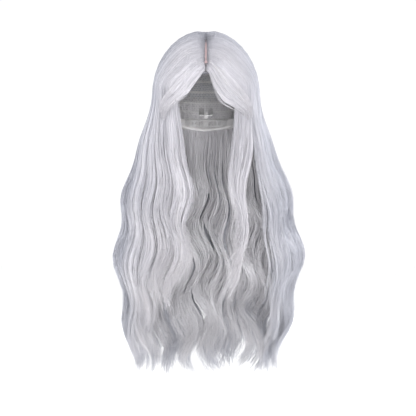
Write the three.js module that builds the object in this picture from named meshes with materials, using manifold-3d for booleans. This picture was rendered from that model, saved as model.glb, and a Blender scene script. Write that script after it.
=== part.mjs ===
// Long wavy costume wig, as it sits on a head.
// A stretch net cap carries a lace front, a skin-toned parting patch, sewn weft rows, stayed ear tabs,
// nape adjusters and snap combs. The hair is a set of locks that leave the middle parting, follow the
// head down to the temples and hang from there: the wearer's right side lies in front of the shoulder,
// the wearer's left side is split into a face lock and a side mass that falls outside the shoulder.
//
// Millimetres, +Z up, the wearer faces -Y, so the wearer's left is +X.
// The origin is where the crown of the head touches the inside of the cap.
import * as THREE from "three";
import { mergeVertices } from "three/addons/utils/BufferGeometryUtils.js";
import Module from "manifold-3d";

const wasm = await Module();
wasm.setup();

// ---- Driving dimensions ----------------------------------------------------------------------------
const HEAD = { a: 77, b: 97, up: 108, down: 120 }; // half breadth, half length, heights above and below
const WIDEST_Z = -108; // level of the head's widest section, the temples
const NET = { inner: 0, outer: 1.2 }; // cap net, as offsets out from the scalp
const LACE = { inner: 0.2, outer: 0.9, drop: 11 }; // lace strip below the net's front edge
const PATCH = { inner: 1.9, outer: 2.6, halfWidth: 13, from: 27, to: 101 }; // parting patch
const TAB = { inner: 0.1, outer: 2.3, top: -104.5, bottom: -136, azimuth: 74 }; // ear tab
const WEFT = { inner: 1.7, outer: 3.1, height: 4 }; // sewn weft band
const ROOT_OFFSET = { inner: 3.4, outer: 9 }; // hair at the parting, out from the scalp
const FULL_OFFSET = { inner: [3, 3, 3], outer: [26, 20, 14] }; // hair over the head: x, y and z
const PART_GAP = 3; // from the parting's middle to the first hair
const LIFT_BY = 0.08; // share of the way to the temples in which the hair rises from the parting
const CURTAIN = 25; // thickness of the hanging hair, outer face to inner face
const WAVE = { length: 128, depth: 12, start: -165, full: -380 }; // the hair's S waves
const NAPE = { radius: 62.4, slope: 0.34, level: -155, y: 26 }; // cone that the adjusters run on

const LEFT = 1; // the wearer's left is +X
const RIGHT = -1;
const deg = THREE.MathUtils.degToRad;
const { lerp, clamp, smoothstep } = THREE.MathUtils;
const V = (x, y, z) => new THREE.Vector3(x, y, z);

// ---- Shape helpers ---------------------------------------------------------------------------------
// Turns a closed surface the right way out.
function facingOut(geometry) {
  const p = geometry.attributes.position;
  const t = geometry.index.array;
  const [a, b, c] = [V(), V(), V()];
  let volume = 0;
  for (let i = 0; i < t.length; i += 3) {
    a.fromBufferAttribute(p, t[i]);
    b.fromBufferAttribute(p, t[i + 1]);
    c.fromBufferAttribute(p, t[i + 2]);
    volume += a.dot(b.cross(c));
  }
  if (volume < 0) for (let i = 0; i < t.length; i += 3) [t[i + 1], t[i + 2]] = [t[i + 2], t[i + 1]];
  geometry.computeVertexNormals();
  return geometry;
}

function surface(points, triangles) {
  const geometry = new THREE.BufferGeometry().setFromPoints(points);
  geometry.setIndex(triangles.flat());
  return facingOut(geometry);
}

// A closed solid through a row of rings that all have the same number of points.
function loft(rings) {
  const n = rings[0].length;
  const last = (rings.length - 1) * n;
  const triangles = [];
  for (let r = 0; r < last; r += n)
    for (let i = 0; i < n; i++) {
      const j = (i + 1) % n;
      triangles.push([r + i, r + n + i, r + j], [r + j, r + n + i, r + n + j]);
    }
  for (let i = 1; i < n - 1; i++) triangles.push([0, i, i + 1], [last, last + i + 1, last + i]);
  return surface(rings.flat(), triangles);
}

const steps = (from, to, count) =>
  Array.from({ length: count + 1 }, (_, i) => lerp(from, to, i / count));

// Eases between hand-set points [x, value], flat at each point.
function eased(points, x) {
  const i = clamp(points.findIndex(([px]) => x < px), 1, points.length - 1);
  if (x >= points.at(-1)[0]) return points.at(-1)[1];
  const [[x0, v0], [x1, v1]] = [points[i - 1], points[i]];
  return lerp(v0, v1, smoothstep(x, x0, x1));
}

// A smooth curve through points, at t from 0 to 1.
function through(points, t) {
  const spans = points.length - 1;
  const i = Math.min(Math.floor(t * spans), spans - 1);
  const at = (k) =>
    points[k] ?? (k < 0 ? points[0].clone().multiplyScalar(2).sub(points[1])
      : points[spans].clone().multiplyScalar(2).sub(points[spans - 1]));
  const [p, q, r, s] = [at(i - 1), at(i), at(i + 1), at(i + 2)];
  const w = t * spans - i;
  const bend = (a, b, c, d) =>
    b + 0.5 * w * (c - a + w * (2 * a - 5 * b + 4 * c - d + w * (3 * (b - c) + d - a)));
  return V(bend(p.x, q.x, r.x, s.x), bend(p.y, q.y, r.y, s.y), bend(p.z, q.z, r.z, s.z));
}

function solidOf(geometry) {
  const bare = geometry.index ? geometry.toNonIndexed() : geometry.clone();
  bare.deleteAttribute("normal");
  bare.deleteAttribute("uv");
  const merged = mergeVertices(bare, 1e-3);
  const vertProperties = merged.attributes.position.array;
  return new wasm.Manifold(
    new wasm.Mesh({ numProp: 3, vertProperties, triVerts: new Uint32Array(merged.index.array) }),
  );
}

function geometryOf(solid) {
  const { vertProperties, triVerts } = solid.getMesh();
  const result = new THREE.BufferGeometry()
    .setAttribute("position", new THREE.BufferAttribute(vertProperties, 3))
    .setIndex(new THREE.BufferAttribute(triVerts, 1));
  result.computeVertexNormals();
  return result;
}

const cut = (geometry, ...tools) =>
  geometryOf(tools.reduce((left, tool) => left.subtract(solidOf(tool)), solidOf(geometry)));
const join = (...geometries) =>
  geometryOf(geometries.map(solidOf).reduce((left, right) => left.add(right)));

// ---- Materials -------------------------------------------------------------------------------------
const cloth = (color, roughness) => new THREE.MeshStandardMaterial({ color, roughness, metalness: 0 });
const materials = {
  hair: cloth(0xcfd0d8, 0.5),
  underHair: cloth(0xb3b0b6, 0.6),
  net: cloth(0xd9d6d6, 0.85),
  lace: cloth(0xe6dad4, 0.8),
  skin: cloth(0xe3bcae, 0.55),
  elastic: cloth(0xd2cfd0, 0.9),
  plastic: cloth(0xe8e8ea, 0.35),
  steel: new THREE.MeshStandardMaterial({ color: 0x9b9ba2, roughness: 0.35, metalness: 0.9 }),
};

const wig = new THREE.Group();
function add(name, geometry, material) {
  const mesh = new THREE.Mesh(geometry, material);
  mesh.name = name;
  wig.add(mesh);
  return mesh;
}
const sideName = (side) => (side === LEFT ? "left" : "right");

// ---- The head that the cap fits --------------------------------------------------------------------
// A point at an azimuth (0 at the face, 90 at an ear, 180 at the back) and a level, out from the scalp.
function onScalp(side, azimuth, z, offset) {
  const height = (z > WIDEST_Z ? HEAD.up : HEAD.down) + offset;
  const ring = Math.sqrt(Math.max(0, 1 - ((z - WIDEST_Z) / height) ** 2));
  const angle = deg(azimuth);
  return V(
    side * (HEAD.a + offset) * ring * Math.sin(angle),
    -(HEAD.b + offset) * ring * Math.cos(angle),
    z,
  );
}

// Lower edge of the net: across the forehead, over the ear and down to the nape.
const NET_EDGE = [[0, -56], [30, -60], [56, -86], [66, -104], [82, -104], [96, -106], [118, -162], [180, -170]];
const netEdge = (azimuth) => eased(NET_EDGE, Math.abs(azimuth));

// A band that follows the scalp: its edges are levels, given at each azimuth from -180 to 180.
function scalpBand(azimuths, low, high, inner, outer) {
  return loft(
    azimuths.map((azimuth) => {
      const at = (z, offset) => onScalp(LEFT, azimuth, z, offset);
      const [z0, z1] = [low(azimuth), high(azimuth)];
      return [at(z0, inner), at(z0, outer), at(z1, outer), at(z1, inner)];
    }),
  );
}

function capNet() {
  const around = 44;
  const levels = 10;
  const points = [V(0, 0, NET.inner), V(0, 0, NET.outer)];
  for (let i = 0; i < around; i++) {
    const azimuth = (360 * i) / around - 180;
    for (const offset of [NET.inner, NET.outer])
      for (let k = 0; k < levels; k++) {
        const edge = Math.asin(clamp((netEdge(azimuth) - WIDEST_Z) / HEAD.up, -1, 1));
        const rise = lerp(edge, Math.PI / 2, k / levels);
        const height = rise > 0 ? HEAD.up + offset : HEAD.down + offset;
        points.push(
          V(
            (HEAD.a + offset) * Math.cos(rise) * Math.sin(deg(azimuth)),
            -(HEAD.b + offset) * Math.cos(rise) * Math.cos(deg(azimuth)),
            WIDEST_Z + height * Math.sin(rise),
          ),
        );
      }
  }
  const triangles = [];
  const id = (i, face, k) => 2 + ((i % around) * 2 + face) * levels + k;
  for (let i = 0; i < around; i++) {
    for (let k = 0; k < levels - 1; k++) {
      const [a, b, c, d] = [id(i, 1, k), id(i + 1, 1, k), id(i, 1, k + 1), id(i + 1, 1, k + 1)];
      triangles.push([a, b, c], [b, d, c]);
      const [e, f, g, h] = [id(i, 0, k), id(i + 1, 0, k), id(i, 0, k + 1), id(i + 1, 0, k + 1)];
      triangles.push([e, g, f], [f, g, h]);
    }
    triangles.push([id(i, 1, levels - 1), id(i + 1, 1, levels - 1), 1]);
    triangles.push([id(i, 0, levels - 1), 0, id(i + 1, 0, levels - 1)]);
    triangles.push([id(i, 0, 0), id(i + 1, 0, 0), id(i, 1, 0)], [id(i + 1, 0, 0), id(i + 1, 1, 0), id(i, 1, 0)]);
  }
  return surface(points, triangles);
}

function laceFront() {
  return scalpBand(
    steps(-56, 56, 28),
    (azimuth) => netEdge(azimuth) - LACE.drop,
    (azimuth) => netEdge(azimuth) - 1,
    LACE.inner,
    LACE.outer,
  );
}

// The patch runs over the crown, so its rings stand across the parting.
function partingPatch() {
  const ring = (angle) => {
    const at = (x, offset) => {
      const [A, B, C] = [HEAD.a + offset, HEAD.b + offset, HEAD.up + offset];
      const k = Math.sqrt(1 - (x / A) ** 2);
      return V(x, -B * k * Math.cos(deg(angle)), WIDEST_Z + C * k * Math.sin(deg(angle)));
    };
    const across = steps(-PATCH.halfWidth, PATCH.halfWidth, 4);
    return [...across.map((x) => at(x, PATCH.outer)), ...across.reverse().map((x) => at(x, PATCH.inner))];
  };
  return loft(steps(PATCH.from, PATCH.to, 12).map(ring));
}

// An ear tab narrows downwards. Its pocket is open at the top, and the stay stands in it.
function tabPiece(side, halfWidth, taper, top, bottom, inner, outer) {
  return loft(
    steps(top, bottom, 6).map((z, i) => {
      const w = halfWidth * lerp(1, taper, (i / 6) ** 1.6);
      const at = (azimuth, offset) => onScalp(side, TAB.azimuth + azimuth, z, offset);
      return [at(-w, inner), at(-w, outer), at(0, outer), at(w, outer), at(w, inner), at(0, inner)];
    }),
  );
}

function earTab(side) {
  const tab = tabPiece(side, 8.5, 0.5, TAB.top, TAB.bottom, TAB.inner, TAB.outer);
  const pocket = tabPiece(side, 2.6, 1, TAB.top + 2, TAB.bottom + 5, TAB.inner + 0.55, TAB.outer - 0.55);
  return cut(tab, pocket);
}

const earStay = (side) =>
  tabPiece(side, 1.7, 1, TAB.top - 1, TAB.bottom + 6, TAB.inner + 0.85, TAB.outer - 0.85);

add("cap_net", capNet(), materials.net);
add("lace_front", laceFront(), materials.lace);
add("parting_patch", partingPatch(), materials.skin);
for (const side of [LEFT, RIGHT]) {
  add(`ear_tab_${sideName(side)}`, earTab(side), materials.net);
  add(`ear_stay_${sideName(side)}`, earStay(side), materials.plastic);
}
add(
  "nape_band",
  scalpBand(steps(122, 238, 20), () => -168, () => -158.5, WEFT.inner, WEFT.outer),
  materials.elastic,
);

// ---- Weft rows: bands of hair sewn to the outside of the net, from the nape up to the crown ----------
const WEFT_ROWS = [
  { level: -150, from: 119 },
  { level: -133, from: 114 },
  { level: -116, from: 108 },
  { level: -94, from: 92 },
  { level: -74, from: 84 },
  { level: -54, from: 84 },
];
WEFT_ROWS.forEach(({ level, from }, i) => {
  const top = () => level + WEFT.height;
  const band = scalpBand(steps(from, 360 - from, 22), () => level, top, WEFT.inner, WEFT.outer);
  add(`weft_row_${i + 1}`, band, materials.underHair);
});

// ---- Nape adjusters: an elastic strap with a hook runs round the nape, over a ladder of loops -------
function onNape(side, turn, z, inset) {
  const radius = NAPE.radius + NAPE.slope * (z - NAPE.level) - inset;
  return V(side * radius * Math.sin(deg(turn)), NAPE.y + radius * Math.cos(deg(turn)), z);
}

function napeBand(side, from, to, low, high, outer, inner, count) {
  return loft(
    steps(from, to, count).map((turn) => [
      onNape(side, turn, low, outer),
      onNape(side, turn, low, inner),
      onNape(side, turn, high, inner),
      onNape(side, turn, high, outer),
    ]),
  );
}

const LOOPS = [7, 13, 19, 25, 31]; // where each loop stands, in degrees from the middle of the nape
function loopLadder() {
  const band = napeBand(LEFT, -35, 35, -162, -148, 1.4, 2.4, 20);
  const windows = [LEFT, RIGHT].flatMap((side) =>
    LOOPS.map((turn) => napeBand(side, turn - 1.6, turn + 1.6, -159, -151, 1, 3, 2)),
  );
  return cut(band, ...windows);
}

function adjusterHook(side) {
  const plate = napeBand(side, 19, 28.5, -160, -150, 3.1, 4.3, 4);
  const slot = napeBand(side, 25.2, 27, -159, -151, 2, 6, 2);
  const notch = napeBand(side, 17, 22.5, -156.6, -153.4, 2, 6, 2);
  return cut(plate, slot, notch);
}

function strapCasing(side) {
  const sleeve = napeBand(side, 46, 75, -162, -148, 1.8, 5.4, 8);
  const channel = napeBand(side, 44, 77, -160.4, -149.6, 2.8, 4.6, 8);
  return cut(sleeve, channel);
}

add("loop_ladder", loopLadder(), materials.elastic);
for (const side of [LEFT, RIGHT]) {
  const strap = napeBand(side, 28.9, 70, -159, -151, 3.3, 4.1, 12);
  add(`strap_casing_${sideName(side)}`, strapCasing(side), materials.net);
  add(`adjuster_strap_${sideName(side)}`, strap, materials.elastic);
  add(`adjuster_hook_${sideName(side)}`, adjusterHook(side), materials.plastic);
}

// ---- Combs: a toothed comb that turns on its rod, in the sleeve of a sewn tab ------------------------
const COMB = { depth: 3.9, rod: 0.9, half: 14, tooth: 14, root: 1.5, tip: 0.7, thick: 0.8 };
const TOOTH_PLACES = [-13, -10.5, -8, -5.5, 5.5, 8, 10.5, 13];
const SLEEVE = { half: 3.6, bore: 1.3, outer: 2.1, patch: 6.5, thick: 0.7 };

// A cylinder along x, with its axis through the origin.
const rodAlong = (radius, length) =>
  new THREE.CylinderGeometry(radius, radius, length, 20).rotateZ(Math.PI / 2);

function combTooth(x) {
  const [w, v, t] = [COMB.root / 2, COMB.tip / 2, COMB.thick / 2];
  const ring = (half, y) => [V(x - half, y, -t), V(x + half, y, -t), V(x + half, y, t), V(x - half, y, t)];
  return loft([ring(w, 0), ring(w, 4), ring(v, COMB.tooth)]);
}

function combTab() {
  const patch = new THREE.BoxGeometry(2 * SLEEVE.half, 2 * SLEEVE.patch, SLEEVE.thick);
  patch.translate(0, 0, SLEEVE.outer - SLEEVE.thick / 2);
  const sleeve = rodAlong(SLEEVE.outer, 2 * SLEEVE.half);
  return cut(join(patch, sleeve), rodAlong(SLEEVE.bore, 3 * SLEEVE.half));
}

function addComb(name, side, azimuth, level) {
  const at = onScalp(side, azimuth, level, -COMB.depth);
  const out = V(at.x / HEAD.a ** 2, at.y / HEAD.b ** 2, (level - WIDEST_Z) / HEAD.up ** 2).normalize();
  const along = V(0, 0, 1).cross(out).normalize();
  const basis = new THREE.Matrix4().makeBasis(along, out.clone().cross(along), out).setPosition(at);
  const teeth = TOOTH_PLACES.map(combTooth);
  const comb = join(rodAlong(COMB.rod, 2 * COMB.half), ...teeth);
  add(`comb_${name}`, comb.applyMatrix4(basis), materials.steel);
  add(`comb_tab_${name}`, combTab().applyMatrix4(basis), materials.elastic);
}

addComb("left", LEFT, 60, -84);
addComb("right", RIGHT, 60, -84);
addComb("nape", LEFT, 180, -138);

// ---- Hair ------------------------------------------------------------------------------------------
// Guide strands of the outer face of the hair. Each has its azimuth at the temples' level and its
// waypoints [x, y, z] from there down to the tip, with x as if on the wearer's left.
const BACK_GUIDES = [
  { azimuth: 130, way: [[92, 74, -205], [120, 68, -325], [132, 66, -440], [110, 68, -628]] },
  { azimuth: 180, way: [[0, 107, -205], [0, 104, -325], [0, 112, -440], [0, 112, -636]] },
];
const GUIDES = {
  [RIGHT]: [
    { azimuth: 34, way: [[46, -93, -195], [33, -88, -295], [38, -97, -400], [62, -100, -481]] },
    { azimuth: 52, way: [[84, -80, -200], [80, -84, -310], [84, -92, -415], [104, -92, -520]] },
    { azimuth: 72, way: [[116, -50, -200], [135, -60, -315], [145, -66, -430], [138, -62, -592]] },
    { azimuth: 95, way: [[131, 0, -205], [166, -12, -325], [175, -16, -440], [146, -10, -630]] },
    ...BACK_GUIDES,
  ],
  [LEFT]: [
    { azimuth: 34, way: [[54, -95, -195], [43, -91, -295], [55, -97, -390], [46, -100, -477]] },
    { azimuth: 50, way: [[88, -80, -205], [84, -86, -295], [76, -95, -385], [58, -100, -470]] },
    { azimuth: 54, way: [[96, -66, -205], [118, -56, -300], [138, -46, -420], [126, -40, -580]] },
    { azimuth: 95, way: [[132, 4, -205], [176, 0, -325], [187, -4, -440], [144, 0, -632]] },
    ...BACK_GUIDES,
  ],
};

// Where along the parting the hair of an azimuth is rooted: the angle up from the forehead.
const PARTING = [[30, 27], [60, 48], [90, 72], [130, 96], [180, 108]];
function partingAngle(azimuth) {
  const i = clamp(PARTING.findIndex(([a]) => azimuth < a), 1, PARTING.length - 1);
  const [[a0, v0], [a1, v1]] = [PARTING[i - 1], PARTING[i]];
  return deg(lerp(v0, v1, (azimuth - a0) / (a1 - a0)));
}

// Over the head: from the parting to the temples' level, along the shortest arc.
function overHead(side, azimuth, depth, u) {
  const up = partingAngle(azimuth);
  const from = V(0, -Math.cos(up), Math.sin(up));
  const to = V(Math.sin(deg(azimuth)), -Math.cos(deg(azimuth)), 0);
  const arc = from.angleTo(to);
  const along = from
    .multiplyScalar(Math.sin((1 - u) * arc))
    .addScaledVector(to, Math.sin(u * arc))
    .divideScalar(Math.sin(arc));
  const lift = Math.sqrt(smoothstep(u, 0, LIFT_BY));
  const root = lerp(ROOT_OFFSET.inner, ROOT_OFFSET.outer, depth);
  const [ox, oy, oz] = [0, 1, 2].map((k) =>
    lerp(root, lerp(FULL_OFFSET.inner[k], FULL_OFFSET.outer[k], depth), lift),
  );
  const x = (HEAD.a + ox) * along.x + PART_GAP * (1 - u);
  return V(side * x, (HEAD.b + oy) * along.y, WIDEST_Z + (HEAD.up + oz) * along.z);
}

// The guide waypoints at an azimuth, moved in from the outer face by the depth.
function waypoints(side, azimuth, depth) {
  const guides = GUIDES[side];
  const i = clamp(guides.findIndex((g) => azimuth < g.azimuth), 1, guides.length - 1);
  const [g, h] = [guides[i - 1], guides[i]];
  const share = (azimuth - g.azimuth) / (h.azimuth - g.azimuth);
  return g.way.map((p, k) => {
    const q = h.way[k];
    const outer = V(lerp(p[0], q[0], share), lerp(p[1], q[1], share), lerp(p[2], q[2], share));
    const inward = V(-outer.x, 10 - outer.y, 0).normalize();
    outer.addScaledVector(inward, (1 - depth) * CURTAIN);
    return V(side * outer.x, outer.y, outer.z);
  });
}

// Below the temples: through the waypoints, with S waves that grow towards the tips. The waves of the
// two sides meet at the middle of the back.
function hanging(side, azimuth, depth, u) {
  const top = overHead(side, azimuth, depth, 1);
  const points = [top, ...waypoints(side, azimuth, depth)];
  const p = through(points, u);
  const lag = (180 - azimuth) / (side === LEFT ? 140 : 105);
  const swing = Math.PI * 2 * (p.z / WAVE.length + lag);
  const size = WAVE.depth * smoothstep(-p.z, -WAVE.start, -WAVE.full);
  const outward = V(p.x, p.y - 10, 0).normalize();
  const sideways = V(-outward.y, outward.x, 0);
  p.addScaledVector(sideways, size * Math.sin(swing));
  return p.addScaledVector(outward, -0.5 * size * (1 + Math.cos(swing)));
}

// u runs from 0 at the parting to 1 at the temples' level and 2 at the tip.
const hairPoint = (side, azimuth, depth, u) =>
  u <= 1 ? overHead(side, azimuth, depth, u) : hanging(side, azimuth, depth, u - 1);

// Every lock has its rings at the same stations, so neighbours run side by side without touching.
const STATIONS = [0, 0.05, ...steps(0.16, 0.96, 5), ...steps(1.04, 2, 21)];

function lock({ side, from, to, inner = 0.3, outer = 1, start = 0, end = 2 }) {
  const between = STATIONS.filter((u) => u > start + 0.02 && u < end - 0.02);
  const middle = (from + to) / 2;
  const centre = (inner + outer) / 2;
  const bevel = Math.min(0.45, 6 / (to - from));
  const columns = Math.max(1, Math.round((to - from) / 9));
  const across = steps(bevel - 1, 1 - bevel, columns);
  const corners = [[-1, 0], ...across.map((w) => [w, 1]), [1, 0], ...across.map((w) => [-w, -1])];
  const ring = (u) => {
    const tip = smoothstep(u, end - 0.35, end);
    const half = ((to - from) / 2) * lerp(1, 0.4, tip);
    const thick = ((outer - inner) / 2) * lerp(1, 0.35, tip);
    return corners.map(([w, d]) => hairPoint(side, middle + w * half, centre + d * thick, u));
  };
  return loft([start, ...between, end].map(ring));
}

// The face locks swing on their own, so each is cut in two at the jaw.
const FACE_SPLIT = { above: 1.13, below: 1.17 };
const FACE = { [RIGHT]: [34, 46], [LEFT]: [34, 49.5] };
for (const side of [LEFT, RIGHT]) {
  const [from, to] = FACE[side];
  const root = lock({ side, from, to, end: FACE_SPLIT.above });
  add(`face_lock_root_${sideName(side)}`, root, materials.hair);
  add(`face_lock_${sideName(side)}`, lock({ side, from, to, start: FACE_SPLIT.below }), materials.hair);
}

// Side and back locks, with the share of the guides' length that each one reaches.
const OUTER_LOCKS = {
  [RIGHT]: [
    ["side_lock", 46.8, 57.5, 1.97],
    ["side_lock", 58.3, 70, 2],
    ["side_lock", 70.8, 82.5, 1.98],
    ["side_lock", 83.3, 96, 2],
    ["side_lock", 96.8, 110, 1.97],
    ["back_lock", 110.8, 124, 1.99],
    ["back_lock", 124.8, 138, 1.95],
    ["back_lock", 138.8, 152, 1.98],
    ["back_lock", 152.8, 166, 1.94],
    ["back_lock", 166.8, 179.3, 1.99],
  ],
  [LEFT]: [
    ["side_lock", 54.3, 67, 1.96],
    ["side_lock", 68, 80.7, 2],
    ["side_lock", 82, 95, 1.98],
    ["side_lock", 96, 109.3, 2],
    ["back_lock", 110.3, 124, 1.96],
    ["back_lock", 124.8, 138, 1.99],
    ["back_lock", 138.8, 152, 1.94],
    ["back_lock", 152.8, 166, 1.98],
    ["back_lock", 166.8, 179.3, 1.95],
  ],
};
for (const side of [LEFT, RIGHT]) {
  const counts = { side_lock: 0, back_lock: 0 };
  for (const [kind, from, to, end] of OUTER_LOCKS[side]) {
    counts[kind] += 1;
    const name = `${kind}_${sideName(side)}_${counts[kind]}`;
    add(name, lock({ side, from, to, end }), materials.hair);
  }
}

// Hair of the lower weft rows hangs inside the curtain.
const UNDER = { inner: -0.5, outer: 0.06, start: 1.21, end: 1.93 };
const UNDER_LOCKS = [["under_side", 84, 112], ["under_back", 113.5, 145], ["under_nape", 146.5, 179]];
for (const side of [LEFT, RIGHT])
  for (const [kind, from, to] of UNDER_LOCKS)
    add(`${kind}_${sideName(side)}`, lock({ side, from, to, ...UNDER }), materials.underHair);

// ---- Fringe: swept from the parting across the forehead to each temple ------------------------------
// Lower and upper edge of each half as seen from the front, [x, z].
const FRINGE = {
  [RIGHT]: {
    lower: [[3, -62], [12, -78], [24, -100], [40, -118], [60, -132], [71, -144], [76, -154]],
    upper: [[3, -42], [22, -60], [42, -82], [64, -106], [79, -124], [84, -139], [82, -155]],
  },
  [LEFT]: {
    lower: [[3, -62], [10, -78], [16, -104], [29, -124], [50, -136], [68, -146], [79, -154]],
    upper: [[3, -42], [24, -60], [40, -80], [56, -97], [72, -116], [83, -134], [86, -153]],
  },
};
const FRINGE_DEPTH = { clear: 1.8, thick: 4.5, dip: 9, temple: 4 }; // dip in at the brow, lift at the temple

function fringePoint(side, share, depth, t) {
  const flat = ({ 0: x, 1: z }) => V(x, 0, z);
  const low = through(FRINGE[side].lower.map(flat), t);
  const p = low.lerp(through(FRINGE[side].upper.map(flat), t), share);
  const dip = FRINGE_DEPTH.dip * (1 - share) * smoothstep(t, 0, 0.3) * (1 - smoothstep(t, 0.5, 0.8));
  const lift = FRINGE_DEPTH.temple * smoothstep(t, 0.55, 0.85);
  const over = FRINGE_DEPTH.clear + FRINGE_DEPTH.thick * depth - dip + lift;
  const fullness = Math.sqrt(smoothstep(p.x, 0, 9));
  const [A, B, C] = [HEAD.a, HEAD.b, HEAD.up].map(
    (size, k) => size + over + lerp(ROOT_OFFSET.outer, FULL_OFFSET.outer[k], fullness),
  );
  const rise = Math.max(0, p.z - WIDEST_Z) / C;
  p.y = -B * Math.sqrt(1 - (p.x / A) ** 2 - rise ** 2);
  p.x *= side;
  return p;
}

for (const side of [LEFT, RIGHT]) {
  const ring = (t) => {
    const corners = [[0, 0.4], [0.3, 1], [0.7, 1], [1, 0.4], [0.7, 0], [0.3, 0]];
    return corners.map(([share, depth]) => fringePoint(side, share, depth, t));
  };
  add(`fringe_${sideName(side)}`, loft(steps(0, 1, 12).map(ring)), materials.hair);
}

export default wig;
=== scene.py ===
"""Looks of the long wavy costume wig: strands of hair over a net cap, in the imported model's frame.

Hair is worked out in millimetres and stored in metres. The wearer faces -Y, so the wearer's left is +X.
"""

import math

import bmesh
import bpy
import numpy as np
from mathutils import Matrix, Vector


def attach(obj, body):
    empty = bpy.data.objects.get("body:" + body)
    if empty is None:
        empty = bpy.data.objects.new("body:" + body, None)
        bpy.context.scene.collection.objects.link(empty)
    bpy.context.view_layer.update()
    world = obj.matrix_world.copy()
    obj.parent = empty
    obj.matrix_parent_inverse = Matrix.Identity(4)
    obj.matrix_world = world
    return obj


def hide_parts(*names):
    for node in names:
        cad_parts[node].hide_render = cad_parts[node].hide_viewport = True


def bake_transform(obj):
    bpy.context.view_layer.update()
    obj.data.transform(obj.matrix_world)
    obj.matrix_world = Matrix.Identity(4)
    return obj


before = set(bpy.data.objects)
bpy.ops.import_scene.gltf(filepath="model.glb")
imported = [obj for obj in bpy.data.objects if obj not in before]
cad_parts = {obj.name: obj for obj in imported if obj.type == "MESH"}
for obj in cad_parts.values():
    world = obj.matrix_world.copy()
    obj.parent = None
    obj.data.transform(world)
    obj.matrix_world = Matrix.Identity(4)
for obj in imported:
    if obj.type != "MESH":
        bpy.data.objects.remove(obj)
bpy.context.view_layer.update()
scene = bpy.context.scene

# ---- Driving sizes, in millimetres and degrees ------------------------------------------------------
MM = 0.001
HEAD = np.array([77.0, 97.0, 108.0])  # half breadth, half length and height above the temples
HEAD_DOWN = 120.0  # reach of the head's egg shape below the temples
TEMPLES = -108.0  # level of the head's widest section
ROOT_OFFSET = (0.8, 3.0)  # hair at the parting: innermost and outermost, out from the scalp
CLOSING = (54.0, 98.0)  # azimuths whose roots lie where the parting closes, towards the crown
CLOSED_OFFSET = 11.5  # the same over the crown, where the two sides meet and hide the parting
FULL_OFFSET = (np.array([3.0, 3.0, 3.0]), np.array([25.0, 20.0, 14.0]))
HAIR_CLEAR = 3.4  # the least that hanging hair stays out from the scalp
CURTAIN = 25.0  # thickness of the hanging hair
LONGEST = 2.03  # how far along the guides the longest strands reach, apart from the front ones
SHOULDER = 150.0  # how strongly the hair keeps going straight down below the temples
WAVE = {"length": 128.0, "depth": 12.0, "start": -165.0, "full": -380.0}
LEFT, RIGHT = 1, -1
SIDES = {"left": LEFT, "right": RIGHT}
FRONT_WAVE = {RIGHT: 0.85, LEFT: 0.3}  # size of the waves in the face locks, against those of the back
SIDE_WAVE = {RIGHT: 0.0, LEFT: 0.3}  # how much deeper than the back's the waves of the side hair are

# Guide strands of the hair's outer face: azimuth at the temples, then waypoints down to the tip.
BACK_GUIDES = [
    (130, [(92, 74, -205), (120, 68, -325), (132, 66, -440), (110, 68, -628)]),
    (180, [(0, 107, -205), (0, 104, -325), (0, 112, -440), (0, 112, -636)]),
]
GUIDES = {
    RIGHT: [
        (34, [(46, -93, -195), (33, -88, -295), (38, -97, -400), (62, -100, -481)]),
        (52, [(84, -80, -200), (80, -84, -310), (84, -92, -415), (104, -92, -520)]),
        (72, [(116, -50, -200), (135, -60, -315), (145, -66, -430), (138, -62, -592)]),
        (95, [(131, 0, -205), (166, -12, -325), (175, -16, -440), (146, -10, -630)]),
        *BACK_GUIDES,
    ],
    LEFT: [
        (34, [(54, -95, -195), (43, -91, -295), (61, -97, -390), (43, -100, -477)]),
        (50, [(88, -80, -205), (82, -86, -295), (82, -95, -385), (54, -100, -470)]),
        (54, [(96, -66, -205), (118, -56, -300), (138, -46, -420), (126, -40, -580)]),
        (95, [(132, 4, -205), (176, 0, -325), (187, -4, -440), (144, 0, -632)]),
        *BACK_GUIDES,
    ],
}
# Azimuth at the temples, and how far up and back along the parting that hair starts, in degrees.
PARTING = np.array([(30, 27), (60, 48), (90, 72), (130, 96), (180, 108)], float)

# The hair of each CAD lock: its azimuths, and how far it reaches: 1 at the temples' level, 2 at the tip.
LOCKS = {
    RIGHT: [
        ("side_lock_right_1", 46.8, 57.5, 1.97),
        ("side_lock_right_2", 58.3, 70, 2.0),
        ("side_lock_right_3", 70.8, 82.5, 1.98),
        ("side_lock_right_4", 83.3, 96, 2.0),
        ("side_lock_right_5", 96.8, 110, 1.97),
        ("back_lock_right_1", 110.8, 124, 1.99),
        ("back_lock_right_2", 124.8, 138, 1.95),
        ("back_lock_right_3", 138.8, 152, 1.98),
        ("back_lock_right_4", 152.8, 166, 1.94),
        ("back_lock_right_5", 166.8, 180, 1.99),
    ],
    LEFT: [
        ("side_lock_left_1", 54.3, 67, 1.96),
        ("side_lock_left_2", 68, 80.7, 2.0),
        ("side_lock_left_3", 82, 95, 1.98),
        ("side_lock_left_4", 96, 109.3, 2.0),
        ("back_lock_left_1", 110.3, 124, 1.96),
        ("back_lock_left_2", 124.8, 138, 1.99),
        ("back_lock_left_3", 138.8, 152, 1.94),
        ("back_lock_left_4", 152.8, 166, 1.98),
        ("back_lock_left_5", 166.8, 180, 1.95),
    ],
}
FACE_LOCKS = {RIGHT: (34, 46), LEFT: (34, 49.5)}
FACE_NARROWING = {RIGHT: 0.75, LEFT: 0.42}  # share of its breadth that each face lock keeps
UNDER_LOCKS = [("under_side", 84, 112), ("under_back", 113, 146), ("under_nape", 146, 180)]

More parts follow.
